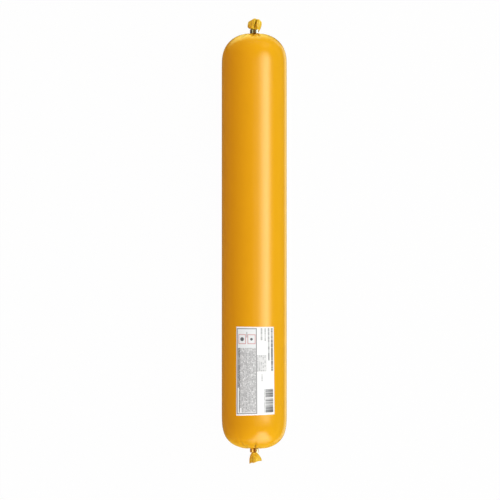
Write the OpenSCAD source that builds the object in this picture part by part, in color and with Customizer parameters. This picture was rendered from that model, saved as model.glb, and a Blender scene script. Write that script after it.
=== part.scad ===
// Film sausage pack of sealant: a filled film tube, gathered and clipped at both ends.
// It lies on its side along Y, label up, with the origin on the surface under its middle.

/* [Filled tube] */
// Diameter of the filled film tube
tube_d = 50; // [44:0.5:58]
// Length of the filled tube from crown to crown
fill_l = 318.3; // [200:0.1:400]
// Radius of the flat crown that the top clip sits on
top_crown_r = 4.4; // [3.5:0.1:8]
// Radius of the flat crown that the bottom clip sits on
bottom_crown_r = 6.2; // [3.5:0.1:8]
// Width of the flat spot that the pack lies on
flat_w = 9; // [4:0.5:14]

/* [Film seam] */
// Width of the lap seam along the film
seam_w = 10; // [6:0.5:12]
// Step of the lapped film above the tube
seam_t = 0.12; // [0.06:0.01:0.2]
// Turn of the seam from the top of the pack, towards -X
seam_turn = 150; // [120:1:155]

/* [Gathered ends] */
// Number of pleats round each clip
pleat_count = 13; // [9:1:17]
// Depth of the deepest pleats
pleat_depth = 1.1; // [0.4:0.1:1.5]
// Reach of the pleats over the shoulder, out from the crown
pleat_reach = 9; // [6:0.5:12]
// Number of longer, shallower puckers that the pleats run out into
pucker_count = 9; // [5:1:13]
// Depth of the deepest puckers
pucker_depth = 1; // [0.4:0.1:1.5]
// Radius at which the last pucker ends
pucker_end_r = 23.5; // [20:0.1:24]
// Distance of the top crease from the axis
top_crease_r = 15; // [8:0.1:20]
// Depth of the top crease
top_crease_depth = 0.35; // [0:0.05:1.2]
// Distance of the bottom crease from the axis
bottom_crease_r = 12.5; // [8:0.1:20]
// Depth of the bottom crease
bottom_crease_depth = 0.9; // [0:0.05:1.2]
// Half length of a crease
crease_l = 3; // [1:0.1:5]

/* [Tails] */
// Length of the top tail beyond its clip
top_tail_l = 8.6; // [5:0.1:14]
// Width of the top tail at its widest
top_tail_w = 11.4; // [8:0.1:16]
// Length of the bottom tail beyond its clip
bottom_tail_l = 8.7; // [5:0.1:14]
// Width of the bottom tail at its rim
bottom_tail_w = 10; // [8:0.1:16]
// Sideways lean of the top tail
top_lean = 0.6; // [0:0.1:2]
// Sideways lean of the bottom tail
bottom_lean = 1.1; // [0:0.1:2]
// How far the right of the top tail droops beside its clip
top_droop = 1.8; // [0:0.1:2]
// Number of folds round a tail
tail_folds = 5; // [4:1:8]
// Thickness of the bunched film in a tail
tail_wall = 0.45; // [0.3:0.05:0.7]

/* [Clips] */
// Width of a crimped clip across its two lobes
clip_w = 6.6; // [6:0.1:7]
// Thickness of the clip wire
wire_t = 1.35; // [1:0.05:1.5]
// Width of the clip wire along the pack
wire_w = 3; // [2:0.1:4]
// Slit between the two curled wire ends
tip_gap = 0.7; // [0.1:0.05:1]
// Clearance between a clip and the neck of film inside it
clip_clear = 0.05; // [0.03:0.01:0.1]
// Clearance between a clip and the crown that it sits on
clip_seat = 0.15; // [0.05:0.05:0.3]

/* [Label] */
// Width of the label, measured round the tube
label_w = 31.5; // [20:0.1:45]
// Length of the label along the tube
label_l = 67.8; // [40:0.1:120]
// Thickness of the label paper
label_t = 0.1; // [0.06:0.01:0.15]
// Thickness of the adhesive under the label
adhesive_t = 0.02; // [0.01:0.01:0.05]
// Distance of the label from the bottom shoulder
label_offset = 7.3; // [0:0.1:20]
// Turn of the label's middle from the top of the pack, towards +X
label_turn = 2.6; // [-10:0.1:10]

/* [Hidden] */

film_colour = [0.91, 0.65, 0.10];
clip_colour = [0.78, 0.79, 0.80];
label_colour = [0.96, 0.96, 0.95];

tube_r = tube_d / 2;
crown_z = fill_l / 2;
straight_top = crown_z - (tube_r - top_crown_r);
straight_bottom = -crown_z + (tube_r - bottom_crown_r);
axis_h = sqrt(tube_r * tube_r - flat_w * flat_w / 4);

// The gathered film starts at this radius, past the last pucker
gather_r = min(pucker_end_r + 0.4, axis_h - 0.1);
// Step between the smooth shoulder and the gathered film
gather_step = 0.03;

// Clip wire: centre line of the round back, of the curled ends and of the legs between
back_r = (clip_w - wire_t) / 2;
curl_r = (back_r - wire_t / 2 - tip_gap / 2) / 2;
leg_l = back_r - curl_r;
tip_l = wire_t / 3;
wire_edge_r = wire_t / 4;
clip_z = crown_z + clip_seat;

neck_r = clip_w / 2 - wire_t - clip_clear;
neck_front = leg_l - tip_l - clip_clear;
neck_top_z = clip_z + wire_w + clip_clear;

// Middle of the whole length, seen from the middle of the filled tube
middle_z = (top_tail_l - bottom_tail_l) / 2;

// Mesh of a gathered end: points round it, rings over the shoulder and along the tail
around = 90;
shoulder_rings = 12;
tail_rings = 8;
cup_rings = 3;
round_fn = 128;

// Shoulder as an arc, by its tilt from the crown at 0 to the straight tube at 90
function arc_r(tilt, crown_r) = crown_r + (tube_r - crown_r) * sin(tilt);
function arc_z(tilt, crown_r) = crown_z - (tube_r - crown_r) * (1 - cos(tilt));
function tilt_at(r, crown_r) = asin((r - crown_r) / (tube_r - crown_r));

function smooth(t) = let (c = max(0, min(1, t))) c * c * (3 - 2 * c);

// Angle drawn uneven, so that no two folds have the same width
function uneven(a, seed) = a + 8 * sin(a + 70 * seed) + 5 * sin(2 * a + 130 * seed);

// Folds in gathered film: 1 at the bottom of a sharp valley, 0 on the puffed ridges
function folds(a, count, seed) =
    pow(1 - abs(sin(count / 2 * uneven(a, seed))), 1.5) * (0.7 + 0.3 * sin(3 * a + 100 * seed));

// 1 at zero, and almost nothing beyond two
function bell(x) = exp(-x * x);

// How far an angle lies from a centre, from -180 to 180
function off_angle(a, centre) = ((a - centre + 180) % 360 + 360) % 360 - 180;

// Gathered film over the shoulder: deep short pleats run out into fewer, longer puckers, and
// one has creased. A crease is its angle, radius and depth.
function pleat_sink(a, r, crown_r, crease, seed) =
    let (
        wander = 0.85 + 0.1 * sin(2 * a + 120 * seed) + 0.05 * sin(5 * a + 75 * seed),
        near = smooth(1 - (r - crown_r) / (pleat_reach * wander)),
        far = smooth(1 - (r - crown_r) / ((pucker_end_r - crown_r) * wander))
    )
    pleat_depth * pow(near, 1.3) * folds(a, pleat_count, seed)
    + pucker_depth * far * folds(a, pucker_count, seed + 7)
    + crease[2] * bell((r - crease[1]) / crease_l) * bell(off_angle(a, crease[0]) / 3.2);

// Neck of bunched film: round, with a flat at the front where the wire ends press into it
function neck_outline(a) = sin(a) < 0 ? min(neck_r, neck_front / -sin(a)) : neck_r;

// Share by which a tail is pinched in at angle a and at t, from 0 at the neck to 1 at the rim:
// soft ridges, and one deep fold. A fold is its angle, drift, depth and fade towards the rim.
function tail_pinch(a, t, fold, seed) =
    let (
        turned = uneven(a + 14 * t, seed + 3),
        soft = 0.07 * (1 + sin(tail_folds * turned)) + 0.03 * (1 + sin(11 * turned)),
        sharp = 0.12 * folds(a + 11 * t, tail_folds + 2, seed + 3),
        width = 24 - 15 * smooth(1.6 * t),
        deep = fold[2] * (1 - fold[3] * smooth(2 * t))
            * bell(off_angle(a, fold[0] + fold[1] * t * t) / width)
    )
    max(smooth(2 * t) * (soft + sharp), smooth(6 * t) * deep);

// Radius of a tail. A rise is how quickly the tail opens, and how much quicker on the right.
function tail_r(a, t, width, rise, fold, seed) =
    (neck_r + (width / 2 - neck_r) * (1 - pow(1 - t, rise[0] * (1 + rise[1] * cos(a)))))
    * (1 - tail_pinch(a, t, fold, seed));

// Share of the tail's length that is reached at angle a. A rim is its slant, its roundness on
// the left and the corner that is cut off on the right.
function rim_share(a, width, rise, rim, fold, seed) =
    let (across = cos(a) * tail_r(a, 1, width, rise, fold, seed) / (width / 2))
    1 - abs(rim[0]) * (1 + sign(rim[0]) * across) / 2
    - rim[1] * pow(min(across - 0.1, 0), 2)
    - rim[2] * smooth((across - 0.5) / 0.35)
    - 0.025 * (1 - cos(4 * uneven(a, seed) + 40));

// How far the side of a tail hangs down beside its clip
function droop_at(a, t, droop) =
    droop * smooth((t - 0.035) / 0.05) * pow(1 - t, 3) * pow(max(cos(a), 0), 2);

// Rounded rectangle, the section of the clip wire
function wire_section() = [
    for (corner = [0 : 3], step = [0 : 3])
        let (
            a = 90 * corner + 30 * step,
            sx = corner == 0 || corner == 3 ? 1 : -1,
            sy = corner < 2 ? 1 : -1
        )
        [
            sx * (wire_t / 2 - wire_edge_r) + wire_edge_r * cos(a),
            sy * (wire_w / 2 - wire_edge_r) + wire_edge_r * sin(a)
        ]
];

// Turns the pack from standing on its end, front towards -Y, to lying on its flat spot
module lay_down() {
    translate([0, -middle_z, axis_h]) rotate([-90, 0, 0]) children();
}

// Half section of the filled tube between its gathered ends, grown outwards by grow
module tube_section(grow) {
    gather_top = arc_z(tilt_at(gather_r, top_crown_r), top_crown_r);
    gather_bottom = -arc_z(tilt_at(gather_r, bottom_crown_r), bottom_crown_r);
    intersection() {
        union() {
            translate([0, straight_bottom])
                square([tube_r + grow, straight_top - straight_bottom]);
            translate([top_crown_r, straight_top])
                circle(r = tube_r - top_crown_r + grow, $fn = round_fn);
            translate([bottom_crown_r, straight_bottom])
                circle(r = tube_r - bottom_crown_r + grow, $fn = round_fn);
        }
        translate([0, gather_bottom]) square([tube_r + grow, gather_top - gather_bottom]);
    }
}

// Lap seam: a strip of the tube's own section, one film thicker
module lap_seam() {
    seam_angle = seam_w / tube_r * 180 / PI;
    seam_root = 1;
    rotate([0, 0, 270 - seam_turn - seam_angle / 2])
        rotate_extrude(angle = seam_angle, $fn = round_fn)
            difference() {
                tube_section(seam_t);
                tube_section(-seam_root);
            }
}

// One gathered end: pleated crown, neck through the clip, and a thin ruffled tail
module gathered_end(crown_r, crease, tail_l, tail_w, lean, droop, rise, rim, fold, seed) {
    // A ring holds one point for each angle; lean shifts the tail sideways along X
    function at(a, r, z, shift) = [shift + r * cos(a), r * sin(a), z];
    function sink(a, r) = pleat_sink(a, r, crown_r, crease, seed);
    function tail_point(a, t, thin) =
        at(a, tail_r(a, t, tail_w, rise, fold, seed) - thin,
            neck_top_z + tail_l * t * rim_share(a, tail_w, rise, rim, fold, seed)
                - droop_at(a, t, droop),
            lean * smooth(t));
    angles = [for (i = [0 : around - 1]) 360 * i / around];
    gather_tilt = tilt_at(gather_r, crown_r);
    shoulder = [
        for (k = [0 : shoulder_rings])
            let (
                tilt = gather_tilt * (1 - k / shoulder_rings),
                r = arc_r(tilt, crown_r) - (k == 0 ? gather_step : 0),
                z = arc_z(tilt, crown_r)
            )
            [for (a = angles) at(a, r, z - sink(a, r), 0)]
    ];
    neck = [
        [for (a = angles) at(a, (crown_r + neck_r) / 2, crown_z - sink(a, crown_r), 0)],
        [for (a = angles) at(a, neck_outline(a), crown_z - sink(a, crown_r) / 2, 0)],
        [for (a = angles) at(a, neck_outline(a), neck_top_z, 0)]
    ];
    skirt = [
        for (k = [1 : tail_rings])
            [for (a = angles) tail_point(a, pow(k / tail_rings, 1.6), 0)]
    ];
    cup = [
        for (k = [0 : cup_rings - 1])
            [for (a = angles) tail_point(a, 1 - 0.7 * k / (cup_rings - 1), tail_wall)]
    ];
    rings = concat(shoulder, neck, skirt, cup);
    ring_count = len(rings);
    base_point = ring_count * around;
    cup_point = base_point + 1;
    points = [
        each [for (ring = rings) each ring],
        [0, 0, arc_z(gather_tilt, crown_r)],
        [lean * smooth(0.2), 0, neck_top_z + 0.2 * tail_l]
    ];
    faces = [
        for (i = [0 : ring_count - 2], j = [0 : around - 1])
            let (
                next = (j + 1) % around,
                low = i * around,
                high = low + around
            )
            each [[low + j, high + j, high + next], [low + j, high + next, low + next]],
        for (j = [0 : around - 1]) [base_point, j, (j + 1) % around],
        for (j = [0 : around - 1])
            let (low = (ring_count - 1) * around)
            [cup_point, low + (j + 1) % around, low + j]
    ];
    polyhedron(points = points, faces = faces, convexity = 10);
}

// Filled film tube with its seam and both gathered ends, flat where it lies
module film_pack() {
    color(film_colour) lay_down() union() {
        difference() {
            union() {
                rotate_extrude($fn = round_fn) tube_section(0);
                lap_seam();
            }
            translate([-tube_r, axis_h, -fill_l / 2]) cube([tube_d, tube_r, fill_l]);
        }
        gathered_end(top_crown_r, [-124, top_crease_r, top_crease_depth],
            top_tail_l, top_tail_w, top_lean, top_droop,
            rise = [8.5, 0.3], rim = [0.04, 0.28, 0.25], fold = [-84, 16, 0.8, 0], seed = 1);
        mirror([0, 0, 1])
            gathered_end(bottom_crown_r, [-84, bottom_crease_r, bottom_crease_depth],
                bottom_tail_l, bottom_tail_w, bottom_lean, droop = 0,
                rise = [3, 0], rim = [0.27, 0, 0], fold = [-80, 6, 0.6, 0.8], seed = 2);
    }
}

// One half of a clip's wire: a quarter of the back, a leg, a curl and the pressed-in end
module clip_half() {
    translate([0, 0, wire_w / 2]) {
        rotate_extrude(angle = 90, $fn = round_fn) translate([back_r, 0]) polygon(wire_section());
        translate([back_r, 0, 0]) rotate([90, 0, 0]) linear_extrude(leg_l) polygon(wire_section());
        translate([back_r - curl_r, -leg_l, 0]) rotate([0, 0, 180])
            rotate_extrude(angle = 180, $fn = round_fn) translate([curl_r, 0]) polygon(wire_section());
        translate([back_r - 2 * curl_r, -leg_l, 0]) rotate([-90, 0, 0])
            linear_extrude(tip_l) polygon(wire_section());
    }
}

// Crimped wire clip, round at the back, its two curled ends meeting at the front
module clip() {
    union() {
        clip_half();
        mirror([1, 0, 0]) clip_half();
    }
}

module top_clip() {
    color(clip_colour) lay_down() translate([0, 0, clip_z]) clip();
}

module bottom_clip() {
    color(clip_colour) lay_down() translate([0, 0, -clip_z - wire_w]) clip();
}

// Paper label, wrapped round the tube's straight part
module label() {
    label_r = tube_r + adhesive_t;
    label_angle = label_w / label_r * 180 / PI;
    color(label_colour) lay_down()
        translate([0, 0, straight_bottom + label_offset])
            rotate([0, 0, label_turn - 90 - label_angle / 2])
                rotate_extrude(angle = label_angle, $fn = round_fn)
                    translate([label_r, 0]) square([label_t, label_l]);
}

film_pack();
top_clip();
bottom_clip();
label();
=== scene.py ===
# Film sausage pack of sealant: its film, clips and label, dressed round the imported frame.
# Lengths are in metres unless a name says otherwise, and angles are in radians.
import math
import bmesh
import bpy
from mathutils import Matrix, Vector


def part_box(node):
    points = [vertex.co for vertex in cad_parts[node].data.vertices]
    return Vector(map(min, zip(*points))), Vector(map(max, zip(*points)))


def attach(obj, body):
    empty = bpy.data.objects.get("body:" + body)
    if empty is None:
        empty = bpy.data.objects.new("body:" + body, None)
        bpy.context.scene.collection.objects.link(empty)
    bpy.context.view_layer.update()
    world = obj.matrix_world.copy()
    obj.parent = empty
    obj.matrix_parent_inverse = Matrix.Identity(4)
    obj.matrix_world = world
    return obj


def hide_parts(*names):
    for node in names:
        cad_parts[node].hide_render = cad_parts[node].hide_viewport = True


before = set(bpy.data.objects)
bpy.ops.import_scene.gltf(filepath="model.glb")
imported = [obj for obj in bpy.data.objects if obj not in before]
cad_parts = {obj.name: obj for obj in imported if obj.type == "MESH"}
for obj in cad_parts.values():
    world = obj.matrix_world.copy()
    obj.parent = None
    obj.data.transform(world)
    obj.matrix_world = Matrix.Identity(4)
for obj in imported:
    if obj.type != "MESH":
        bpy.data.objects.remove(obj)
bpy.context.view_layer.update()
mm = 0.001
degree = math.pi / 180
print("frame loaded:", sorted(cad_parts))

packLow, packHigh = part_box("film_pack")
topClipLow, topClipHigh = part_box("top_clip")
bottomClipLow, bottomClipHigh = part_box("bottom_clip")
labelLow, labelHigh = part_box("label")

filmTube = {
    "tubeRadius": (packHigh.x - packLow.x) / 2,
    "clipSeat": 0.15 * mm,       # from a clip to the crown under it
    "neckRadius": 1.88 * mm,
    "neckFront": 1.30 * mm,      # the wire ends press the neck flat in front
    "pleatCount": 13,
    "pleatDepth": 1.2 * mm,
    "pleatReach": 12.0 * mm,     # out from the crown
    "puckerCount": 9,            # fewer, shallower and longer than the pleats
    "puckerDepth": 1.0 * mm,
    "puckerEnd": 23.5 * mm,      # radius at which the last one ends
    "tailStart": 0.05 * mm,      # beyond the clip's outer face
    "tailWall": 0.3 * mm,
    "tailFolds": 5,
    "seamWidth": 10.0 * mm,
    "seamStep": 0.11 * mm,
    "seamEdge": 0.4 * mm,
    "seamTurn": math.radians(150),   # from the top of the pack, towards -X
    "easeReach": 3.8 * mm,       # past the shoulder's start, where it is eased in the most
    "easeWidth": 5.4 * mm,
    "quietCrown": 0.5,           # share of the radius inside which there is no seam or easing
    "quietEdge": 0.4,            # share of the radius over which they come in
    "weldDistance": 0.004 * mm,
    "columns": 256,
    "shoulderRows": 44,
    "crownRows": 6,
    "neckRows": 4,
    "tubeRows": 110,
    "tailRows": 36,
    "cupRows": 14,
}
topEnd = {
    "crownRadius": 4.4 * mm,
    "tailLength": packHigh.y - topClipHigh.y,
    "tailWidth": 11.4 * mm,
    "lean": 0.6 * mm,
    "slant": 0.04,
    "roundness": 0.28,           # of the rim on the left
    "cutCorner": 0.25,           # of the rim on the right
    "droop": 3.8 * mm,           # the right side hangs down beside the clip
    "rise": 5.0,
    "riseSpread": -0.2,          # it opens more slowly on the right
    "closing": 0.06,
    "foldTurn": -84.0,           # degrees from +X, where -90 is straight up
    "foldDrift": 16.0,
    "foldDepth": 0.8,
    "foldFade": 0.0,
    # Each crease: its turn like foldTurn, radius of its middle, half its length, and depth.
    "creases": (
        (-125.0, 15.0 * mm, 3.0 * mm, 0.35 * mm),
        (-95.5, 10.5 * mm, 4.5 * mm, 0.5 * mm),
        (-76.0, 12.0 * mm, 4.5 * mm, 0.55 * mm),
    ),
    "easeDepth": 0.2 * mm,
    "seed": 1.0,
}
bottomEnd = {
    "crownRadius": 6.2 * mm,
    "tailLength": bottomClipLow.y - packLow.y,
    "tailWidth": 10.0 * mm,
    "lean": 1.1 * mm,
    "slant": 0.27,
    "roundness": 0.0,
    "cutCorner": 0.0,
    "droop": 0.0,
    "rise": 2.2,
    "riseSpread": 0.0,
    "closing": 0.0,
    "foldTurn": -80.0,
    "foldDrift": 6.0,
    "foldDepth": 0.6,
    "foldFade": 0.8,             # the fold runs out towards the rim
    "creases": (
        (-87.4, 14.0 * mm, 4.2 * mm, 1.15 * mm),
        (-112.0, 13.0 * mm, 4.0 * mm, 0.6 * mm),
        (-121.0, 17.0 * mm, 4.5 * mm, 0.5 * mm),
    ),
    "easeDepth": 0.42 * mm,
    "seed": 2.0,
}
# How film bunches. Each wave has its size, its count round the pack, and its turn for a unit of
# seed, so that no two ends fold alike.
filmFolds = {
    "unevenWaves": ((0.14, 1, 1.22), (0.087, 2, 2.27)),
    "valleySharpness": 1.5,
    "valleyMean": 0.7,
    "valleyWaves": ((0.3, 3, 1.75),),
    "reachMean": 0.85,           # share of the full reach
    "reachWaves": ((0.10, 2, 2.1), (0.05, 5, 1.3)),
    "pleatFade": 1.3,
    "puckerSeed": 7.0,           # the puckers fold apart from the pleats
    "creaseWidth": 0.055,
    # The film's painted shade deepens with a fold's sink, and is darkest at darkestSink.
    "darkestSink": 1.6 * mm,     # depth at which a fold is as dark as it gets
    "sinkAtNeck": 0.5,           # share of a fold's depth that is left there
    # painted shade of the film between clip and crown, as dark as deep in a fold
    "neckShade": 0.7,
}
# The form that both tails share. A rate tells how soon a change is over on the way from the neck
# to the rim: a rate of 2 is done halfway.
tailForm = {
    "seedShift": 3.0,
    "softRidges": 0.07,          # shares of the tail's radius
    "softTwist": 0.25,
    "fineRidges": 0.02,
    "fineCount": 11,
    "sharpRidges": 0.09,
    "sharpTwist": 0.2,
    "sharpMore": 2.0,            # more of them than there are soft ridges
    "foldWidth": 0.42,           # of the one deep fold, at the neck
    "foldNarrowing": 0.26,
    "ridgeRate": 2.0,
    "foldRate": 6.0,
    "narrowRate": 1.6,
    "fadeRate": 2.0,
    "neckRate": 12.0,            # the flat front of the neck opens into the tail
    "closingPower": 5.0,         # the rim closes only at its very end
    "rimWaves": 4,
    "rimWaveTurn": 0.7,
    "rimWaveDepth": 0.025,
    "roundFrom": 0.1,            # places across the rim, from -1 on the left to 1 on the right
    "cornerFrom": 0.5,
    "cornerOver": 0.35,
    "droopFrom": 0.035,          # shares of the tail's length
    "droopOver": 0.05,
    "droopPower": 3.0,
    # painted shade of pinched film in the tails
    "pinchShade": 0.6,
    "rowSpread": 1.6,            # rows of points lie closer together near the neck
    "cupFloor": 0.25,            # share of the length at which the hollow ends
}
adhesive = 0.02 * mm
paperThickness = 0.1 * mm
tubeRadius = filmTube["tubeRadius"]
axisHeight = labelHigh.z - tubeRadius - adhesive - paperThickness
topCrown = topClipLow.y - filmTube["clipSeat"]
bottomCrown = bottomClipHigh.y + filmTube["clipSeat"]
middleY = (topCrown + bottomCrown) / 2
crownHeight = (topCrown - bottomCrown) / 2
straightTop = crownHeight - (tubeRadius - topEnd["crownRadius"])
straightBottom = crownHeight - (tubeRadius - bottomEnd["crownRadius"])

class Field:
    # A number in a node tree, so that a formula in nodes reads as a formula.
    def __init__(self, tree, socket):
        self.tree = tree
        self.socket = socket

    def __add__(self, other):
        return mathNode(self.tree, "ADD", self, other)

    def __radd__(self, other):
        return mathNode(self.tree, "ADD", other, self)

    def __neg__(self):
        return mathNode(self.tree, "MULTIPLY", self, -1.0)

    def __sub__(self, other):
        return mathNode(self.tree, "SUBTRACT", self, other)

    def __rsub__(self, other):
        return mathNode(self.tree, "SUBTRACT", other, self)

    def __mul__(self, other):
        return mathNode(self.tree, "MULTIPLY", self, other)

    def __rmul__(self, other):
        return mathNode(self.tree, "MULTIPLY", other, self)

    def __truediv__(self, other):
        return mathNode(self.tree, "DIVIDE", self, other)

    def __pow__(self, other):
        return mathNode(self.tree, "POWER", self, other)

def plug(tree, value, socket):
    # Links a field or an output to a socket, or writes a plain value in it.
    if isinstance(value, Field):
        tree.links.new(value.socket, socket)
    elif isinstance(value, bpy.types.NodeSocket):
        tree.links.new(value, socket)
    else:
        socket.default_value = value

def mathNode(tree, operation, *values):
    node = tree.nodes.new("ShaderNodeMath")
    node.operation = operation
    for socket, value in zip(node.inputs, values):
        plug(tree, value, socket)
    return Field(tree, node.outputs[0])

def sine(field):
    return mathNode(field.tree, "SINE", field)

def cosine(field):
    return mathNode(field.tree, "COSINE", field)

def absolute(field):
    return mathNode(field.tree, "ABSOLUTE", field)

def least(one, other):
    return mathNode(one.tree, "MINIMUM", one, other)

def greatest(one, other):
    return mathNode(one.tree, "MAXIMUM", one, other)

def hypotenuse(one, other):
    return mathNode(one.tree, "SQRT", one * one + other * other)

def smooth(field):
    # An eased step: 0 at 0 and below, 1 at 1 and above.
    node = field.tree.nodes.new("ShaderNodeMapRange")
    node.interpolation_type = "SMOOTHSTEP"
    plug(field.tree, field, node.inputs["Value"])
    return Field(field.tree, node.outputs["Result"])

def bellCurve(field):
    # 1 at zero, and almost nothing beyond two.
    return mathNode(field.tree, "EXPONENT", -1.0 * field * field)

def offAngle(angle, centre):
    # How far an angle lies from a centre, from -pi to pi.
    turns = (angle - centre) / math.tau + 0.5
    return (turns - mathNode(angle.tree, "FLOOR", turns) - 0.5) * math.tau

def axesOf(tree, socket):
    # The three numbers of a vector, as fields.
    split = tree.nodes.new("ShaderNodeSeparateXYZ")
    tree.links.new(socket, split.inputs[0])
    return [Field(tree, output) for output in split.outputs]

def vectorOf(tree, values):
    join = tree.nodes.new("ShaderNodeCombineXYZ")
    for socket, value in zip(join.inputs, values):
        plug(tree, value, socket)
    return join.outputs[0]

def groupInputs(tree, names, kind="NodeSocketFloat"):
    # Adds named inputs to a tree and returns them as fields.
    for name in names:
        tree.interface.new_socket(name, in_out="INPUT", socket_type=kind)
    node = tree.nodes.new("NodeGroupInput")
    return {name: Field(tree, node.outputs[name]) for name in names}

def groupOutputs(tree, kind="NodeSocketFloat", **results):
    # Adds named outputs to a tree and links its results to them.
    for name in results:
        tree.interface.new_socket(name, in_out="OUTPUT", socket_type=kind)
    node = tree.nodes.new("NodeGroupOutput")
    for name, value in results.items():
        plug(tree, value, node.inputs[name])

def placeGroup(tree, group, values):
    # Places a node group in a tree and returns its outputs as fields.
    node = tree.nodes.new(tree.bl_idname.replace("Tree", "Group"))
    node.node_tree = group
    for socket in node.inputs:
        plug(tree, values[socket.name], socket)
    return [Field(tree, output) for output in node.outputs]

def formulaGroup(name, inputNames, formula):
    # A formula kept as a node group, built once and placed wherever it is needed.
    tree = bpy.data.node_groups.new(name, "GeometryNodeTree")
    groupOutputs(tree, Result=formula(groupInputs(tree, inputNames)))
    return tree

def useFormula(group, size, **values):
    # An input that values doesn't give comes from the tree's own input of that name.
    return placeGroup(size["Seed"].tree, group, {**size, **values})[0]

def wavering(mean, angle, seed, waves):
    for swing, count, turn in waves:
        mean = mean + swing * sine(count * angle + turn * seed)
    return mean

def unevenAngle(angle, seed):
    # No two folds in bunched film have the same width.
    return wavering(angle, angle, seed, filmFolds["unevenWaves"])

def foldPattern(size):
    # 1 at the bottom of a sharp valley, 0 on the puffed ridges between.
    angle, seed = size["Angle"], size["Seed"]
    valley = 1 - absolute(sine(unevenAngle(angle, seed) * (size["Count"] / 2)))
    depth = wavering(filmFolds["valleyMean"], angle, seed, filmFolds["valleyWaves"])
    return (valley ** filmFolds["valleySharpness"]) * depth

def pleatSink(size):
    # Deep short pleats at the clip run out into fewer, longer puckers, and a few have creased.
    angle, seed = size["Angle"], size["Seed"]
    offCrown = size["Radius"] - size["Crown Radius"]
    reach = wavering(filmFolds["reachMean"], angle, seed, filmFolds["reachWaves"])
    near = smooth(1 - offCrown / (size["Pleat Reach"] * reach))
    far = smooth(1 - offCrown / ((size["Pucker End"] - size["Crown Radius"]) * reach))
    pleats = useFormula(foldFormula, size, Count=size["Pleat Count"])
    puckers = useFormula(foldFormula, size, Count=size["Pucker Count"],
                         Seed=seed + filmFolds["puckerSeed"])
    sink = (size["Pleat Depth"] * (near ** filmFolds["pleatFade"]) * pleats
            + size["Pucker Depth"] * far * puckers)
    for number in creaseNumbers:
        turn, radius, length, depth = (size[f"Crease {number} {part}"] for part in creaseParts)
        alongCrease = bellCurve((size["Radius"] - radius) / length)
        offCrease = offAngle(angle, turn * degree) / filmFolds["creaseWidth"]
        sink = sink + depth * alongCrease * bellCurve(offCrease)
    return sink

def tailPinch(size):
    # The share by which a tail is pinched in: soft ridges all round, and one deep fold.
    angle, t, seed = size["Angle"], size["T"], size["Seed"] + tailForm["seedShift"]
    turned = unevenAngle(angle + tailForm["softTwist"] * t, seed)
    soft = (tailForm["softRidges"] * (1 + sine(size["Tail Folds"] * turned))
            + tailForm["fineRidges"] * (1 + sine(tailForm["fineCount"] * turned)))
    sharp = useFormula(foldFormula, size, Angle=angle + tailForm["sharpTwist"] * t,
                       Count=size["Tail Folds"] + tailForm["sharpMore"], Seed=seed)
    ridges = smooth(t * tailForm["ridgeRate"]) * (soft + tailForm["sharpRidges"] * sharp)
    centre = (size["Fold Turn"] + size["Fold Drift"] * (t ** 2.0)) * degree
    narrowing = tailForm["foldNarrowing"] * smooth(t * tailForm["narrowRate"])
    fade = 1 - size["Fold Fade"] * smooth(t * tailForm["fadeRate"])
    offFold = offAngle(angle, centre) / (tailForm["foldWidth"] - narrowing)
    deep = size["Fold Depth"] * fade * bellCurve(offFold)
    return greatest(ridges, smooth(t * tailForm["foldRate"]) * deep)

def tailRadius(size):
    t = size["T"]
    opening = 1 - (1 - t) ** (size["Rise"] * (1 + size["Rise Spread"] * cosine(size["Angle"])))
    half = size["Neck Radius"] + (size["Tail Width"] / 2.0 - size["Neck Radius"]) * opening
    closed = 1 - size["Closing"] * (t ** tailForm["closingPower"])
    return half * closed * (1 - useFormula(pinchFormula, size))

def rimShare(size):
    # The share of the tail's length that is reached at an angle: longer on one side, or rounded.
    angle, slant = size["Angle"], size["Slant"]
    across = cosine(angle) * useFormula(radiusFormula, size, T=1.0) / (size["Tail Width"] / 2.0)
    side = (1 + mathNode(slant.tree, "SIGN", slant) * across) / 2.0
    waveAngle = tailForm["rimWaves"] * unevenAngle(angle, size["Seed"]) + tailForm["rimWaveTurn"]
    wave = tailForm["rimWaveDepth"] * (1 - cosine(waveAngle))
    offTip = least(across - tailForm["roundFrom"], 0.0)
    corner = size["Cut Corner"] * smooth((across - tailForm["cornerFrom"]) / tailForm["cornerOver"])
    return 1 - absolute(slant) * side - size["Roundness"] * offTip * offTip - corner - wave

creaseNumbers = (1, 2, 3)
creaseParts = ("Turn", "Radius", "Length", "Depth")
creaseInputs = [f"Crease {number} {part}" for number in creaseNumbers for part in creaseParts]
pleatInputs = ["Crown Radius", "Pleat Count", "Pleat Depth", "Pleat Reach", "Pucker Count",
               "Pucker Depth", "Pucker End"] + creaseInputs + ["Seed"]
pinchInputs = ["Tail Folds", "Fold Turn", "Fold Drift", "Fold Depth", "Fold Fade", "Seed"]
tailInputs = ["Neck Radius", "Tail Width", "Rise", "Rise Spread", "Closing"] + pinchInputs
rimInputs = ["Slant", "Roundness", "Cut Corner"] + tailInputs
foldFormula = formulaGroup("foldPattern", ["Angle", "Count", "Seed"], foldPattern)
sinkFormula = formulaGroup("pleatSink", ["Angle", "Radius"] + pleatInputs, pleatSink)
pinchFormula = formulaGroup("tailPinch", ["Angle", "T"] + pinchInputs, tailPinch)
radiusFormula = formulaGroup("tailRadius", ["Angle", "T"] + tailInputs, tailRadius)
rimFormula = formulaGroup("rimShare", ["Angle"] + rimInputs, rimShare)

def addStep(tree, kind, geometry, **inputs):
    # A node that takes a geometry and hands it on changed.
    node = tree.nodes.new(kind)
    plug(tree, geometry, node.inputs["Geometry"])
    for name, value in inputs.items():
        plug(tree, value, node.inputs[name])
    return node.outputs[0]

def storeMark(tree, geometry, name, value):
    # Keeps a number on each point, for the material to read.
    return addStep(tree, "GeometryNodeStoreNamedAttribute", geometry, Name=name, Value=value)

def pointAxes(tree):
    return axesOf(tree, tree.nodes.new("GeometryNodeInputPosition").outputs[0])

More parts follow.
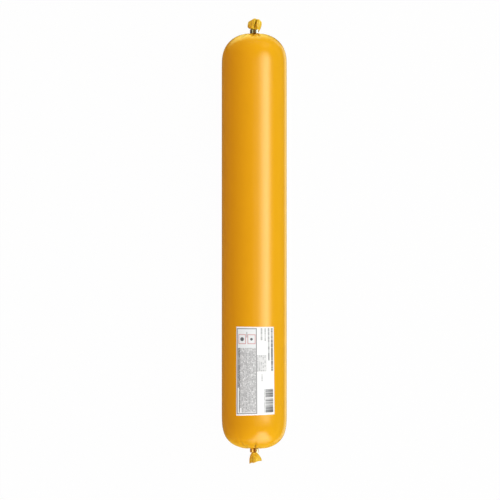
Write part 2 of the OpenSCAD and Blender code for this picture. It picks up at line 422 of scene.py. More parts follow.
def surfaceStrip(tree, rows, shape, filmAlone):
    # A grid whose points are placed by shape(angle, v), v from 0 to 1 along the pack. The shape
    # also says how deep in a fold a point lies, from 0 to 1, for the film's painted fold shade.
    grid = tree.nodes.new("GeometryNodeMeshGrid")
    grid.inputs["Vertices X"].default_value = filmTube["columns"] + 1
    grid.inputs["Vertices Y"].default_value = rows + 1
    u, v = pointAxes(tree)[:2]
    *place, paintedFoldShade = shape((u + 0.5) * math.tau, v + 0.5)
    geometry = storeMark(tree, grid.outputs["Mesh"], "filmAlone", filmAlone)
    geometry = storeMark(tree, geometry, "paintedFoldShade", paintedFoldShade)
    return addStep(tree, "GeometryNodeSetPosition", geometry, Position=vectorOf(tree, place))

def joinAll(tree, parts):
    join = tree.nodes.new("GeometryNodeJoinGeometry")
    for part in parts:
        tree.links.new(part, join.inputs[0])
    return join.outputs[0]

def buildEndTree():
    # One gathered end, standing on its axis: shoulder, crown, neck, and a ruffled tail.
    tree = bpy.data.node_groups.new("gatheredEnd", "GeometryNodeTree")
    size = groupInputs(tree, ["Tube Radius", "Crown Height", "Neck Front", "Neck Height",
                              "Tail Length", "Tail Wall", "Lean", "Droop"]
                       + pleatInputs[:-1] + rimInputs)
    shoulder = size["Tube Radius"] - size["Crown Radius"]

    def ring(angle, radius, height, shift=0.0, paintedFoldShade=0.0):
        return (shift + radius * cosine(angle), radius * sine(angle), height, paintedFoldShade)

    def sinkAt(angle, radius):
        return useFormula(sinkFormula, size, Angle=angle, Radius=radius)

    def shoulderShape(angle, v):
        tilt = (1 - v) * (math.pi / 2)
        radius = size["Crown Radius"] + shoulder * sine(tilt)
        sink = sinkAt(angle, radius)
        height = size["Crown Height"] - shoulder + shoulder * cosine(tilt) - sink * cosine(tilt)
        radius = radius - sink * sine(tilt)
        return ring(angle, radius, height, paintedFoldShade=sink / filmFolds["darkestSink"])

    def neckOutline(angle):
        front = greatest(-sine(angle), 0.001)
        return least(size["Neck Radius"], size["Neck Front"] / front)

    def crownShape(angle, v):
        ease = smooth(v)
        radius = size["Crown Radius"] * (1 - ease) + neckOutline(angle) * ease
        sink = sinkAt(angle, size["Crown Radius"])
        height = size["Crown Height"] - sink * (1 - (1 - filmFolds["sinkAtNeck"]) * ease)
        return ring(angle, radius, height, paintedFoldShade=sink / filmFolds["darkestSink"])

    def neckShape(angle, v):
        crown = size["Crown Height"] - filmFolds["sinkAtNeck"] * sinkAt(angle, size["Crown Radius"])
        height = crown * (1 - v) + size["Neck Height"] * v
        return ring(angle, neckOutline(angle), height, paintedFoldShade=filmFolds["neckShade"])

    def tailPoint(angle, t, inset):
        rim = useFormula(rimFormula, size, Angle=angle)
        radius = useFormula(radiusFormula, size, Angle=angle, T=t)
        pinch = useFormula(pinchFormula, size, Angle=angle, T=t)
        aside = greatest(cosine(angle), 0.0)
        hanging = smooth((t - tailForm["droopFrom"]) / tailForm["droopOver"])
        droop = size["Droop"] * hanging * ((1 - t) ** tailForm["droopPower"]) * aside * aside
        height = size["Neck Height"] + size["Tail Length"] * t * rim - droop
        return radius - inset, height, size["Lean"] * smooth(t), pinch * tailForm["pinchShade"]

    def tailShape(angle, v):
        radius, height, shift, paintedFoldShade = tailPoint(angle, v ** tailForm["rowSpread"], 0.0)
        start = 1 - smooth(v * tailForm["neckRate"])
        radius = radius * (1 - start) + neckOutline(angle) * start
        return ring(angle, radius, height, shift, greatest(paintedFoldShade, filmFolds["neckShade"] * start))

    def rimShape(angle, v):
        return ring(angle, *tailPoint(angle, 1.0 + 0.0 * v, size["Tail Wall"] * v))

    def cupShape(angle, v):
        return ring(angle, *tailPoint(angle, 1 - (1 - tailForm["cupFloor"]) * v, size["Tail Wall"]))

    def cupFloor(angle, v):
        t = tailForm["cupFloor"] + 0.0 * v
        radius, height, shift, paintedFoldShade = tailPoint(angle, t, size["Tail Wall"])
        # The hollow's floor gets the darkest painted shade.
        return ring(angle, radius * (1 - v), height, shift, 1.0)

    strips = [
        surfaceStrip(tree, filmTube["shoulderRows"], shoulderShape, 0),
        surfaceStrip(tree, filmTube["crownRows"], crownShape, 0),
        surfaceStrip(tree, filmTube["neckRows"], neckShape, 0),
        surfaceStrip(tree, filmTube["tailRows"], tailShape, 1),
        surfaceStrip(tree, 1, rimShape, 1),
        surfaceStrip(tree, filmTube["cupRows"], cupShape, 1),
        surfaceStrip(tree, 1, cupFloor, 1),
    ]
    groupOutputs(tree, "NodeSocketGeometry", Geometry=joinAll(tree, strips))
    return tree

def inputName(key):
    # The dictionaries' "crownRadius" is the tree's input "Crown Radius".
    return "".join(" " + letter if letter.isupper() else letter for letter in key).title()

def placeEnd(tree, endTree, values, outward):
    # Sets a gathered end on the tube and turns it along +Y or -Y.
    clipFace = topClipHigh.y if outward > 0 else bottomClipLow.y
    sizes = {inputName(key): value for key, value in {**filmTube, **values}.items()}
    sizes["Crown Height"] = crownHeight
    sizes["Neck Height"] = outward * (clipFace - middleY) + filmTube["tailStart"]
    sizes["Tail Length"] = values["tailLength"] - filmTube["tailStart"]
    for number, crease in zip(creaseNumbers, values["creases"]):
        for part, value in zip(creaseParts, crease):
            sizes[f"Crease {number} {part}"] = value
    end = placeGroup(tree, endTree, sizes)[0]
    turned = addStep(tree, "GeometryNodeTransform", end, Rotation=(-math.pi / 2, 0, 0))
    return addStep(tree, "GeometryNodeTransform", turned, Scale=(1, outward, 1),
                   Translation=(0, middleY, axisHeight))

def buildFilmTree():
    # The whole film: straight tube and two gathered ends, joined into one closed skin.
    tree = bpy.data.node_groups.new("filmTube", "GeometryNodeTree")
    size = groupInputs(tree, ["Tube Radius", "Straight Top", "Straight Bottom",
                              "Seam Step", "Seam Width"])
    paint = groupInputs(tree, ["Film"], "NodeSocketMaterial")["Film"]
    endTree = buildEndTree()

    def tubeShape(angle, v):
        length = v * size["Straight Top"] - (1 - v) * size["Straight Bottom"]
        return (size["Tube Radius"] * cosine(angle), length + middleY,
                axisHeight - size["Tube Radius"] * sine(angle), 0.0)

    parts = [
        surfaceStrip(tree, filmTube["tubeRows"], tubeShape, 0),
        placeEnd(tree, endTree, topEnd, 1),
        placeEnd(tree, endTree, bottomEnd, -1),
    ]
    geometry = addStep(tree, "GeometryNodeMergeByDistance", joinAll(tree, parts),
                       Distance=filmTube["weldDistance"])

    # The floor presses a flat spot, and the lap seam stands one film proud.
    x, y, height = pointAxes(tree)
    z = height - axisHeight
    seamCentre = math.pi / 2 + filmTube["seamTurn"]
    angle = mathNode(tree, "ARCTAN2", x * -math.sin(seamCentre) + z * math.cos(seamCentre),
                     x * math.cos(seamCentre) + z * math.sin(seamCentre))
    toEdge = size["Seam Width"] / 2.0 - absolute(angle) * size["Tube Radius"]
    distance = hypotenuse(x, z)
    offCrown = distance - filmTube["quietCrown"] * size["Tube Radius"]
    inShoulder = smooth(offCrown / (filmTube["quietEdge"] * size["Tube Radius"]))
    inSeam = smooth(toEdge / filmTube["seamEdge"] + 0.5) * inShoulder

    def easing(end, pastTube):
        offMost = (pastTube - filmTube["easeReach"]) / filmTube["easeWidth"]
        return end["easeDepth"] * bellCurve(offMost)

    eased = (easing(topEnd, y - middleY - size["Straight Top"])
             + easing(bottomEnd, middleY - y - size["Straight Bottom"]))
    proud = inSeam * size["Seam Step"] - inShoulder * eased
    lift = 1 + proud / greatest(distance, mm)
    place = vectorOf(tree, (x * lift, y, greatest(z * lift + axisHeight, 0.0)))
    geometry = storeMark(tree, geometry, "inSeam", inSeam)
    geometry = addStep(tree, "GeometryNodeSetPosition", geometry, Position=place)
    geometry = addStep(tree, "GeometryNodeSetShadeSmooth", geometry)
    geometry = addStep(tree, "GeometryNodeRealizeInstances", geometry)
    geometry = addStep(tree, "GeometryNodeSetMaterial", geometry, Material=paint)
    groupOutputs(tree, "NodeSocketGeometry", Geometry=geometry)
    return tree

def addToScene(name, data):
    added = bpy.data.objects.new(name, data)
    bpy.context.scene.collection.objects.link(added)
    return added

def meshFromTree(name, tree, values):
    # Runs a tree on an empty mesh, and keeps the result as a plain mesh object.
    carrier = addToScene(name + "Carrier", bpy.data.meshes.new(name + "Carrier"))
    modifier = carrier.modifiers.new("nodes", "NODES")
    modifier.node_group = tree
    for item in tree.interface.items_tree:
        if item.in_out == "INPUT":
            modifier[item.identifier] = values[item.name]
    evaluated = carrier.evaluated_get(bpy.context.evaluated_depsgraph_get())
    mesh = bpy.data.meshes.new_from_object(evaluated)
    mesh.name = name
    carrier.modifiers.remove(modifier)
    bpy.data.objects.remove(carrier)
    piece = addToScene(name, mesh)
    work = bmesh.new()
    work.from_mesh(mesh)
    bmesh.ops.recalc_face_normals(work, faces=work.faces)
    openEdges = sum(1 for edge in work.edges if len(edge.link_faces) != 2)
    work.to_mesh(mesh)
    work.free()
    print(name, "has", len(mesh.polygons), "faces and", openEdges, "open edges")
    return piece

def newMaterial(name):
    material = bpy.data.materials.new(name)
    material.use_nodes = True
    return material, material.node_tree, material.node_tree.nodes["Principled BSDF"]

def mixColours(tree, share, first, second):
    node = tree.nodes.new("ShaderNodeMix")
    node.data_type = "RGBA"
    plug(tree, share, node.inputs["Factor"])
    for number, colour in ((6, first), (7, second)):     # the two colour sockets
        plug(tree, colour, node.inputs[number])
    return node.outputs[2]

def attributeField(tree, name):
    node = tree.nodes.new("ShaderNodeAttribute")
    node.attribute_name = name
    return Field(tree, node.outputs["Fac"])

def objectPlace(tree):
    # The three object coordinates as fields, in metres.
    return axesOf(tree, tree.nodes.new("ShaderNodeTexCoord").outputs["Object"])

def mapPlace(tree, layer):
    # The two coordinates of a UV map, as fields.
    place = tree.nodes.new("ShaderNodeUVMap")
    place.uv_map = layer
    return axesOf(tree, place.outputs[0])[:2]

def noiseAt(tree, place, detail):
    # Noise over a place of three fields, each scaled to its own grain.
    noise = tree.nodes.new("ShaderNodeTexNoise")
    noise.inputs["Scale"].default_value = 1.0
    noise.inputs["Detail"].default_value = detail
    tree.links.new(vectorOf(tree, place), noise.inputs["Vector"])
    return Field(tree, noise.outputs["Fac"])

def buildGrainGroup():
    # Streaks and a faint cloud for a surface, from its object coordinates: streaks lie across
    # the axis that has the larger scale.
    tree = bpy.data.node_groups.new("surfaceGrain", "ShaderNodeTree")
    size = groupInputs(tree, ["Scale X", "Scale Y", "Scale Z", "Cloud Scale"])
    place = objectPlace(tree)
    streaked = [part * size["Scale " + axis] for part, axis in zip(place, "XYZ")]
    clouded = [part * size["Cloud Scale"] for part in place]
    groupOutputs(tree, Streaks=noiseAt(tree, streaked, detail=3.0),
                 Cloud=noiseAt(tree, clouded, detail=2.0))
    return tree

def addBump(tree, shader, height):
    # The height is in metres.
    bump = tree.nodes.new("ShaderNodeBump")
    bump.inputs["Strength"].default_value = 1.0
    bump.inputs["Distance"].default_value = 1.0
    plug(tree, height, bump.inputs["Height"])
    tree.links.new(bump.outputs[0], shader.inputs["Normal"])

filmLook = {
    "filled": (0.785, 0.392, 0.006, 1),
    "alone": (0.80, 0.555, 0.04, 1),         # no sealant behind the film of the tails
    # painted shade: deep brown for film in folds, in the tails' hollows and at the neck, partly
    # also darker stacked film
    "paintedFoldShade": (0.19, 0.055, 0.001, 1),
    "paintedFoldShadePower": 1.3,
    "seamShade": 0.93,
    "cloudShade": 0.035,
    "roughness": 0.165,
    "roughnessSpread": 0.03,
    "specular": 0.3,
    "grain": {"Scale X": 260, "Scale Y": 9, "Scale Z": 260, "Cloud Scale": 55},
    "rippleHeight": 0.010 * mm,              # long ripples from the way the film is drawn
    "creaseHeight": 0.08 * mm,               # fine creases where it is bunched
    "creasesAround": 5.0,
    "creasesAlong": 90.0,
    "axisRadius": 0.2 * mm,                  # nothing turns round the axis inside it
    "bunchedRadius": 15.0 * mm,
    "bunchedEdge": 12.0 * mm,
    "pastTube": 6.0 * mm,
}

def filmMaterial(grainGroup):
    material, tree, shader = newMaterial("goldenFilm")
    ripples, cloud = placeGroup(tree, grainGroup, filmLook["grain"])
    alone = attributeField(tree, "filmAlone")
    filled = mixColours(tree, alone, filmLook["filled"], filmLook["alone"])
    # Painted shade: the film darkens towards deep brown in folds, in a tail's hollow and at the
    # neck; stacked film there is partly darker too.
    deep = least(attributeField(tree, "paintedFoldShade"), 1.0) ** filmLook["paintedFoldShadePower"]
    shade = ((1 - attributeField(tree, "inSeam") * (1 - filmLook["seamShade"]))
             * (1 + filmLook["cloudShade"] * (cloud - 0.5)))
    scale = tree.nodes.new("ShaderNodeVectorMath")
    scale.operation = "SCALE"
    tree.links.new(mixColours(tree, deep, filled, filmLook["paintedFoldShade"]), scale.inputs[0])
    plug(tree, shade, scale.inputs["Scale"])
    tree.links.new(scale.outputs[0], shader.inputs["Base Color"])
    plug(tree, filmLook["roughness"] + filmLook["roughnessSpread"] * (cloud - 0.5),
         shader.inputs["Roughness"])
    shader.inputs["Specular IOR Level"].default_value = filmLook["specular"]

    # Fine creases run outwards from each clip and along the tails.
    x, y, z = objectPlace(tree)
    up = z - axisHeight
    offAxis = greatest(hypotenuse(x, up), filmLook["axisRadius"])
    around = [part / offAxis * filmLook["creasesAround"] for part in (x, up)]
    creases = noiseAt(tree, (around[0], y * filmLook["creasesAlong"], around[1]), detail=3.0)
    bunched = smooth((filmLook["bunchedRadius"] - offAxis) / filmLook["bunchedEdge"])
    beyondTube = smooth((absolute(y - middleY) - straightTop) / filmLook["pastTube"])
    addBump(tree, shader, ripples * filmLook["rippleHeight"]
            + creases * bunched * beyondTube * filmLook["creaseHeight"])
    return material

# A clip's left is darkened and made less metallic as painted shade, and only its right is bright
# metal.
clipLook = {
    # The bottom clip's two colours are tinted with a painted reflection of the yellow film.
    "topBright": (0.80, 0.80, 0.78, 1),
    "topPaintedShade": (0.15, 0.125, 0.055, 1),
    "bottomBright": (0.95, 0.74, 0.44, 1),
    "bottomPaintedShade": (0.66, 0.34, 0.05, 1),
    "metalInPaintedShade": 0.45,             # share of bare metal in the painted shade
    "paintedShadeTo": 0.4 * mm,            # across the clip, from its axis to the right
    "softEdge": 0.4 * mm,
    "roughBright": 0.42,
    "roughPaintedShade": 0.22,
    "grain": {"Scale X": 160, "Scale Y": 5200, "Scale Z": 160, "Cloud Scale": 700},
    "drawnSpread": 0.10,
    "drawnHeight": 0.012 * mm,
}

def clipMaterial(end, grainGroup):
    # Drawn aluminium wire: marks run along the wire, so they change quickly only along the pack.
    material, tree, shader = newMaterial(end + "ClipWire")
    drawn, cloud = placeGroup(tree, grainGroup, clipLook["grain"])
    x = objectPlace(tree)[0]
    edge = clipLook["paintedShadeTo"] + clipLook["softEdge"] * (cloud - 0.5) * 2.0
    # Painted shade: the clip's left, turned from the light, is darker and less metallic.
    paintedShade = smooth((edge - x) / clipLook["softEdge"] + 0.5)
    colour = mixColours(tree, paintedShade, clipLook[end + "Bright"], clipLook[end + "PaintedShade"])
    tree.links.new(colour, shader.inputs["Base Color"])
    plug(tree, 1 - (1 - clipLook["metalInPaintedShade"]) * paintedShade, shader.inputs["Metallic"])
    rough = clipLook["roughBright"] + (clipLook["roughPaintedShade"] - clipLook["roughBright"]) * paintedShade
    plug(tree, rough + clipLook["drawnSpread"] * (drawn - 0.5), shader.inputs["Roughness"])
    addBump(tree, shader, drawn * clipLook["drawnHeight"])
    return material

labelSheet = {
    "leftTop": -14.45 * mm,      # round the tube from its top, towards +X
    "rightTop": 15.75 * mm,
    "leftBottom": -14.6 * mm,
    "rightBottom": 16.5 * mm,
    "rightRise": 1.0 * mm,       # the bottom edge climbs towards the right
    "topSlip": 0.2 * mm,
    "columns": 56,
    "rows": 40,
    "uvScale": 0.1,              # metres to one unit of the UV map
}
# Print, in millimetres on the paper: left, right, low, high. An ink is how dark the even tone
# is, and how much the letters on it add.
labelPrint = {
    "softEdge": 0.12,
    "frame": (0.6, 16.8, 1.1, 66.7),
    "frameLine": 0.72,
    "frameInk": 0.72,
    "denseText": (3.2, 15.95, 2.3, 51.6),
    "denseInk": (0.355, 0.24),
    "sideText": (1.5, 3.3, 2.3, 51.6),
    "sideInk": (0.58, 0.26),
    "fineRows": {"Pitch": 1.15, "Letter": 0.5, "Seed": 1.0},
    "gapsInText": ((1.4, 2.45, 2.0, 21.3), (3.3, 4.7, 2.0, 6.0)),
    # Blots: their share of the ink, grain, layer of the noise, its detail, threshold, sharpness.
    "thinInk": (0.20, 0.8, 0.0, 1.0, 0.34, 8.0),
    "specks": (0.75, 0.9, 9.0, 0.0, 0.62, 9.0),
    "markSquares": ((5.1, 58.3, 1.6), (12.6, 58.3, 1.1)),    # middle, and radius of its dot
    "squareSize": (6.2, 7.4),
    "squareLine": 0.5,
    "squareInk": 0.75,
    "dotEdge": 0.2,
    "dotInk": 0.9,
    "tick": (8.6, 9.3, 59.6, 63.8),
    "tickInk": 0.55,
    "rows": (                    # strip, size of a letter, how dark
        ((28.25, 30.05, 33.5, 66.8), 0.9, 0.80),
        ((25.6, 27.1, 41.8, 66.8), 0.7, 0.62),
        ((22.8, 24.1, 56.8, 66.8), 0.6, 0.52),
        ((19.8, 21.2, 57.4, 66.8), 0.6, 0.52),
        ((20.2, 21.2, 25.9, 31.6), 0.5, 0.42),
        ((22.3, 23.0, 1.7, 19.8), 0.5, 0.45),
    ),
    "rowInk": (0.65, 0.35),
    "rowEdge": 0.3,
    "firstRowSeed": 3.0,
    "faintText": (16.9, 24.4, 33.5, 46.0),
    "faintInk": (0.20, 0.26),
    "faintRows": {"Pitch": 1.5, "Letter": 0.35, "Seed": 20.0},
    "bars": (23.3, 29.9, 1.7, 19.8),
    "barInk": (0.38, 0.38),
    "barRow": {"Pitch": 1.0, "Letter": 0.22, "Seed": 30.0},
    "barGap": (12.7, 13.3),
    "heavierBars": 0.15,         # added towards the right
    "heavierOver": 6.0,
}
# A row of fine print: shares of its height, and of its letters and words.
finePrint = {
    "inkedFrom": 0.16,
    "inkedTo": 0.84,
    "softEdge": 0.16,
    "rowShift": 0.37,
    "lettersInWord": 4.0,
    "wordSeed": 5.0,
    "lettersMissing": 0.22,
    "wordsMissing": 0.12,
    "sharpness": 8.0,
}
paperLook = {
    "paper": (0.90, 0.90, 0.89, 1),
    "panel": (0.80, 0.815, 0.815, 1),
    "ink": (0.045, 0.045, 0.05, 1),
    "redLine": (0.55, 0.09, 0.08, 1),
    "roughness": 0.5,
    "roughnessSpread": 0.12,
    "specular": 0.15,
    "grain": {"Scale X": 2600, "Scale Y": 2600, "Scale Z": 2600, "Cloud Scale": 300},
    "fibreHeight": 0.004 * mm,
}

def makeLabel():
    # The label is one thin sheet, a little out of square, rolled on the tube.
    columns, rows = labelSheet["columns"], labelSheet["rows"]
    radius = tubeRadius + adhesive
    width = labelSheet["rightBottom"] - labelSheet["leftBottom"]
    height = labelHigh.y - labelLow.y
    points, faces, places = [], [], []
    for row in range(rows + 1):
        v = row / rows
        left = labelSheet["leftBottom"] * (1 - v) + labelSheet["leftTop"] * v
        right = labelSheet["rightBottom"] * (1 - v) + labelSheet["rightTop"] * v
        for column in range(columns + 1):
            u = column / columns
            turn = (left + (right - left) * u) / radius
            y = (labelLow.y + height * v + labelSheet["rightRise"] * u * (1 - v)
                 - labelSheet["topSlip"] * u * v)
            points.append((radius * math.sin(turn), y, axisHeight + radius * math.cos(turn)))
            places.append((u * width / labelSheet["uvScale"], v * height / labelSheet["uvScale"]))
    for row in range(rows):
        for column in range(columns):
            first = row * (columns + 1) + column
            faces.append((first, first + 1, first + columns + 2, first + columns + 1))
    mesh = bpy.data.meshes.new("labelSheet")
    mesh.from_pydata(points, [], faces)
    layer = mesh.uv_layers.new(name="paper")
    for loop in mesh.loops:
        layer.data[loop.index].uv = places[loop.vertex_index]
    for polygon in mesh.polygons:
        polygon.use_smooth = True
    label = addToScene("labelSheet", mesh)
    thicken = label.modifiers.new("paperThickness", "SOLIDIFY")
    thicken.thickness = paperThickness
    thicken.offset = 1.0
    return label

def band(field, low, high, soft=labelPrint["softEdge"]):
    # 1 between two places, with a short soft edge.
    return smooth((field - low) / soft + 0.5) * smooth((high - field) / soft + 0.5)

def patch(across, along, edges, soft=labelPrint["softEdge"]):
    left, right, low, high = edges
    return band(across, left, right, soft) * band(along, low, high, soft)

def outline(across, along, edges, line):
    left, right, low, high = edges
    inner = (left + line, right - line, low + line, high - line)
    return patch(across, along, edges) * (1 - patch(across, along, inner))

def buildRowsGroup():
    # Rows of small dashes that stand for fine print: cells of a row are inked or left at random.
    tree = bpy.data.node_groups.new("printedRows", "ShaderNodeTree")
    size = groupInputs(tree, ["Across", "Along", "Pitch", "Letter", "Seed"])
    places = size["Across"] / size["Pitch"]
    row = mathNode(tree, "FLOOR", places)

    def cells(length, seed, missing):
        cell = mathNode(tree, "FLOOR", size["Along"] / length + row * finePrint["rowShift"])
        noise = tree.nodes.new("ShaderNodeTexWhiteNoise")
        tree.links.new(vectorOf(tree, (row, cell, size["Seed"] + seed)), noise.inputs["Vector"])
        return smooth((Field(tree, noise.outputs["Value"]) - missing) * finePrint["sharpness"])

    inRow = band(places - row, finePrint["inkedFrom"], finePrint["inkedTo"], finePrint["softEdge"])
    letters = cells(size["Letter"], 0.0, finePrint["lettersMissing"])
    words = cells(size["Letter"] * finePrint["lettersInWord"], finePrint["wordSeed"],
                  finePrint["wordsMissing"])
    groupOutputs(tree, Ink=inRow * letters * words)
    return tree

def labelMaterial(grainGroup, rowsGroup):
    material, tree, shader = newMaterial("labelPaper")
    fibres, cloud = placeGroup(tree, grainGroup, paperLook["grain"])
    across, along = (part * (labelSheet["uvScale"] / mm) for part in mapPlace(tree, "paper"))
    inOneRow = 0.5

    def printedRows(place, values):
        return placeGroup(tree, rowsGroup, {"Across": place, "Along": along, **values})[0]

    def inked(edges, ink, letters, soft=labelPrint["softEdge"]):
        return patch(across, along, edges, soft) * (ink[0] + ink[1] * letters)

    def blots(grain, layer, detail, threshold, sharpness):
        noise = noiseAt(tree, (across * grain, along * grain, layer), detail)
        return smooth((noise - threshold) * sharpness)

    frameInk = outline(across, along, labelPrint["frame"], labelPrint["frameLine"])
    fine = printedRows(across, labelPrint["fineRows"])
    thinShare, *thinBlots = labelPrint["thinInk"]
    speckShare, *speckBlots = labelPrint["specks"]
    dense = (inked(labelPrint["denseText"], labelPrint["denseInk"], fine)
             * (1 - thinShare + thinShare * blots(*thinBlots))
             * (1 - speckShare * blots(*speckBlots)))
    text = greatest(dense, inked(labelPrint["sideText"], labelPrint["sideInk"], fine))
    for gap in labelPrint["gapsInText"]:
        text = text * (1 - patch(across, along, gap))
    ink = greatest(frameInk * labelPrint["frameInk"], text)
    ink = greatest(ink, patch(across, along, labelPrint["tick"]) * labelPrint["tickInk"])
    for number, (strip, letter, darkness) in enumerate(labelPrint["rows"]):
        values = {"Pitch": 1.0, "Letter": letter, "Seed": labelPrint["firstRowSeed"] + number}
        words = printedRows(inOneRow, values)
        rowInk = inked(strip, labelPrint["rowInk"], words, labelPrint["rowEdge"])
        ink = greatest(ink, rowInk * darkness)
    faint = printedRows(across, labelPrint["faintRows"])
    ink = greatest(ink, inked(labelPrint["faintText"], labelPrint["faintInk"], faint))
    heavier = smooth((across - labelPrint["bars"][0]) / labelPrint["heavierOver"])
    barTone, barAdds = labelPrint["barInk"]
    bars = (barTone + labelPrint["heavierBars"] * heavier
            + barAdds * printedRows(inOneRow, labelPrint["barRow"]))
    notch = 1 - band(along, *labelPrint["barGap"])
    ink = greatest(ink, patch(across, along, labelPrint["bars"]) * notch * bars)

    red = None
    for centreAcross, centreAlong, dotRadius in labelPrint["markSquares"]:
        halfAcross, halfAlong = (side / 2 for side in labelPrint["squareSize"])
        edges = (centreAcross - halfAcross, centreAcross + halfAcross,
                 centreAlong - halfAlong, centreAlong + halfAlong)
        line = outline(across, along, edges, labelPrint["squareLine"])
        red = line if red is None else greatest(red, line)
        offCentre = hypotenuse(across - centreAcross, along - centreAlong)
        dot = smooth((dotRadius - offCentre) / labelPrint["dotEdge"])
        ink = greatest(ink, dot * labelPrint["dotInk"])

    left, right, _, high = labelPrint["frame"]
    inPanel = patch(across, along, (left, right, labelPrint["denseText"][3], high))
    paper = mixColours(tree, inPanel, paperLook["paper"], paperLook["panel"])
    lined = mixColours(tree, red * labelPrint["squareInk"], paper, paperLook["redLine"])
    tree.links.new(mixColours(tree, ink, lined, paperLook["ink"]), shader.inputs["Base Color"])
    plug(tree, paperLook["roughness"] + paperLook["roughnessSpread"] * cloud,
         shader.inputs["Roughness"])
    shader.inputs["Specular IOR Level"].default_value = paperLook["specular"]
    addBump(tree, shader, fibres * paperLook["fibreHeight"])
    return material

def dress(piece, node):
    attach(piece, "root")
    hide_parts(node)

def repaint(node, material):
    # Gives a CAD node a better material and leaves its mesh alone.
    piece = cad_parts[node]
    piece.data.materials.clear()
    piece.data.materials.append(material)

grainGroup = buildGrainGroup()
film = meshFromTree("film", buildFilmTree(), {
    "Tube Radius": tubeRadius,
    "Straight Top": straightTop,
    "Straight Bottom": straightBottom,
    "Seam Step": filmTube["seamStep"],
    "Seam Width": filmTube["seamWidth"],
    "Film": filmMaterial(grainGroup),
})
dress(film, "film_pack")
for end in ("top", "bottom"):
    repaint(end + "_clip", clipMaterial(end, grainGroup))
label = makeLabel()
label.data.materials.append(labelMaterial(grainGroup, buildRowsGroup()))
dress(label, "label")
print("pieces made")

studio = {
    "cameraHeight": 2.4,         # above the pack's long axis
    "lens": 225.0,               # millimetres, as the sensor is
    "sensorWidth": 36.0,
    "aimX": -3.3 * mm,
    "aimY": -6.9 * mm,
    "nearest": 0.05,             # that the camera sees
    "farthest": 50.0,
    "lampDistance": 2.0,
    "floorSize": 12.0,
    "roomLevel": 0.215,          # plain light from all round
    "warmLevel": 0.54,           # warm light from the upper left
    "warmColour": (1.0, 0.08, 0.0),
    "mirroredRoom": 0.10,        # what gloss sees where no card is
    "floorGrey": 0.60,
    "floorGlow": 0.98,           # share of the floor that the camera sees as plain white
    "mirroredFloor": (0.34, 0.26, 0.11, 1),   # what gloss sees of it, in the pack's warm light
    "white": (1, 1, 1, 1),
}
# Soft lamps that light the colours and don't show in the gloss: direction to the lamp, width,
# length, brightness, colour, and the one piece that it lights, if not all.
softLamps = {
    "keyBox": ((0.56, 0, 0.829), 1.2, 3.0, 3.5, (1, 1, 1)),
    "topEndBox": ((0, 0.985, 0.174), 1.2, 0.8, 5.6, (1.0, 1.07, 1.1)),
    "bottomEndBox": ((0, -0.985, 0.174), 1.2, 0.8, 7.2, (0.98, 1.05, 1.1)),
    "paperFill": ((-0.707, 0, 0.707), 1.0, 1.0, 2.6, (0.28, 1.0, 1.03), label),
}
# Softboxes and cards that only the gloss sees: middle, edges across and along, brightness,
# the share over which each edge fades (left, right, near, far), and colour.
glossCards = {
    "stripBox": ((0.69, 0.345, 0.935), (1.02, 0, -0.75), (0, 1.41, 0), 9.6,
                 (0.65, 0.42, 0.165, 0.567), (0.86, 1.0, 0.86)),
    "lowBox": ((0.061, -0.240, 0.105), (0.15, 0, -0.070), (0.09, 0, 0.22), 8.0,
               (0.4, 0.4, 0.5, 0.25), (0.90, 0.99, 0.93)),
    "rightCard": ((0.051, 0, 0.001), (0.038, 0, 0), (0, 0.42, 0), 1.45,
                  (0.05, 0.60, 0.08, 0.08), (1.0, 1.0, 0.62)),
    "topCard": ((0, 0.338, 0.001), (0.17, 0, 0), (0, 0.36, 0), 3.5,
                (0.30, 0.60, 0.117, 1.0), (0.92, 1.0, 0.33)),
    "topWall": ((0.40, 0.75, 0.30), (0.60, 0, 0), (0, 0, 0.60), 1.0,
                (0.50, 0.40, 0.05, 0.50), (1.0, 0.97, 0.80)),
    "bottomCard": ((0, -0.21, 0.001), (0.15, 0, 0), (0, 0.10, 0), 0.9,
                   (0.40, 0.40, 0.60, 0.05), (1.0, 0.82, 0.18)),
    "bottomWall": ((0.45, -0.75, 0.25), (0.70, 0, 0), (0, 0, 0.50), 1.2,
                   (0.50, 0.30, 0.05, 0.50), (1.0, 0.94, 0.62)),
}

def addCamera():
    camera = addToScene("camera", bpy.data.cameras.new("camera"))
    camera.data.lens = studio["lens"]
    camera.data.sensor_width = studio["sensorWidth"]
    camera.location = (studio["aimX"], studio["aimY"], axisHeight + studio["cameraHeight"])
    camera.data.clip_start = studio["nearest"]
    camera.data.clip_end = studio["farthest"]
    bpy.context.scene.camera = camera

def glowMaterial(name):
    material, tree, shader = newMaterial(name)
    tree.nodes.remove(shader)
    glow = tree.nodes.new("ShaderNodeEmission")
    return material, tree, glow, tree.nodes["Material Output"]

def rayFields(tree):
    # Whether a ray comes straight from the camera, and whether it comes off gloss.
    path = tree.nodes.new("ShaderNodeLightPath")
    return [Field(tree, path.outputs[name]) for name in ("Is Camera Ray", "Is Glossy Ray")]

def addFloor():
    bpy.ops.mesh.primitive_plane_add(size=studio["floorSize"], location=(0, 0, 0))
    floor = bpy.context.object
    floor.name = "floor"
    material, tree, glow, output = glowMaterial("paleFloor")
    seen, mirrored = rayFields(tree)
    diffuse = tree.nodes.new("ShaderNodeBsdfDiffuse")
    diffuse.inputs["Color"].default_value = (studio["floorGrey"],) * 3 + (1,)
    tree.links.new(mixColours(tree, mirrored, studio["white"], studio["mirroredFloor"]),
                   glow.inputs["Color"])
    mix = tree.nodes.new("ShaderNodeMixShader")
    plug(tree, greatest(seen * studio["floorGlow"], mirrored), mix.inputs[0])
    tree.links.new(diffuse.outputs[0], mix.inputs[1])
    tree.links.new(glow.outputs[0], mix.inputs[2])
    tree.links.new(mix.outputs[0], output.inputs["Surface"])
    floor.data.materials.append(material)

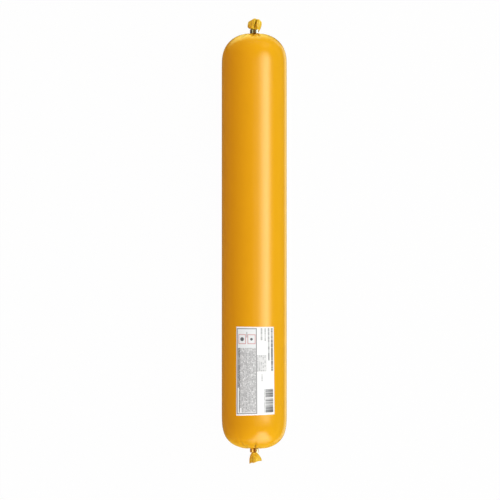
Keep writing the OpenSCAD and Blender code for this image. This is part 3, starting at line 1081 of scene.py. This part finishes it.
def addWorld():
    world = bpy.data.worlds.new("studioWorld")
    bpy.context.scene.world = world
    world.use_nodes = True
    tree = world.node_tree
    seen, mirrored = rayFields(tree)
    x, y, z = axesOf(tree, tree.nodes.new("ShaderNodeTexCoord").outputs["Generated"])
    warm = studio["warmLevel"] * (2 * greatest(-x, 0.0) * greatest(z, 0.0))
    room = tree.nodes.new("ShaderNodeCombineColor")
    for socket, share in zip(room.inputs, studio["warmColour"]):
        plug(tree, warm * share + studio["roomLevel"], socket)
    unseen = mixColours(tree, mirrored, room.outputs[0], (studio["mirroredRoom"],) * 3 + (1,))
    tree.links.new(mixColours(tree, seen, unseen, studio["white"]),
                   tree.nodes["Background"].inputs["Color"])

def addGlossCard(name, middle, across, along, level, fades, colour):
    middle, across, along = Vector(middle), Vector(across), Vector(along)
    places = ((0, 0), (1, 0), (1, 1), (0, 1))
    corners = [middle + across * (u - 0.5) + along * (v - 0.5) for u, v in places]
    mesh = bpy.data.meshes.new(name)
    mesh.from_pydata(corners, [], [(0, 1, 2, 3)])
    layer = mesh.uv_layers.new(name="card")
    for loop, place in zip(layer.data, places):
        loop.uv = place
    card = addToScene(name, mesh)
    material, tree, glow, output = glowMaterial(name)
    u, v = mapPlace(tree, "card")
    left, right, near, far = fades
    strength = smooth(u / left) * smooth((1 - u) / right) * smooth(v / near) * smooth((1 - v) / far)
    plug(tree, strength * level, glow.inputs["Strength"])
    glow.inputs["Color"].default_value = (*colour, 1)
    tree.links.new(glow.outputs[0], output.inputs["Surface"])
    mesh.materials.append(material)
    card.visible_camera = False
    card.visible_diffuse = False
    card.visible_shadow = False
    card.visible_transmission = False

def addSoftLamp(name, direction, width, length, level, colour, onlyPiece=None):
    data = bpy.data.lights.new(name, "AREA")
    data.shape = "RECTANGLE"
    data.size = width
    data.size_y = length
    data.energy = level * width * length * math.pi
    data.color = colour
    lamp = addToScene(name, data)
    direction = Vector(direction).normalized()
    lamp.location = direction * studio["lampDistance"]
    lamp.rotation_euler = direction.to_track_quat("Z", "Y").to_euler()
    lamp.visible_glossy = False
    if onlyPiece:
        group = bpy.data.collections.new(name + "Lit")
        group.objects.link(onlyPiece)
        lamp.light_linking.receiver_collection = group

addCamera()
addFloor()
addWorld()
for name, values in softLamps.items():
    addSoftLamp(name, *values)
for name, values in glossCards.items():
    addGlossCard(name, *values)
bpy.context.scene.view_settings.view_transform = "Standard"
print("studio made")
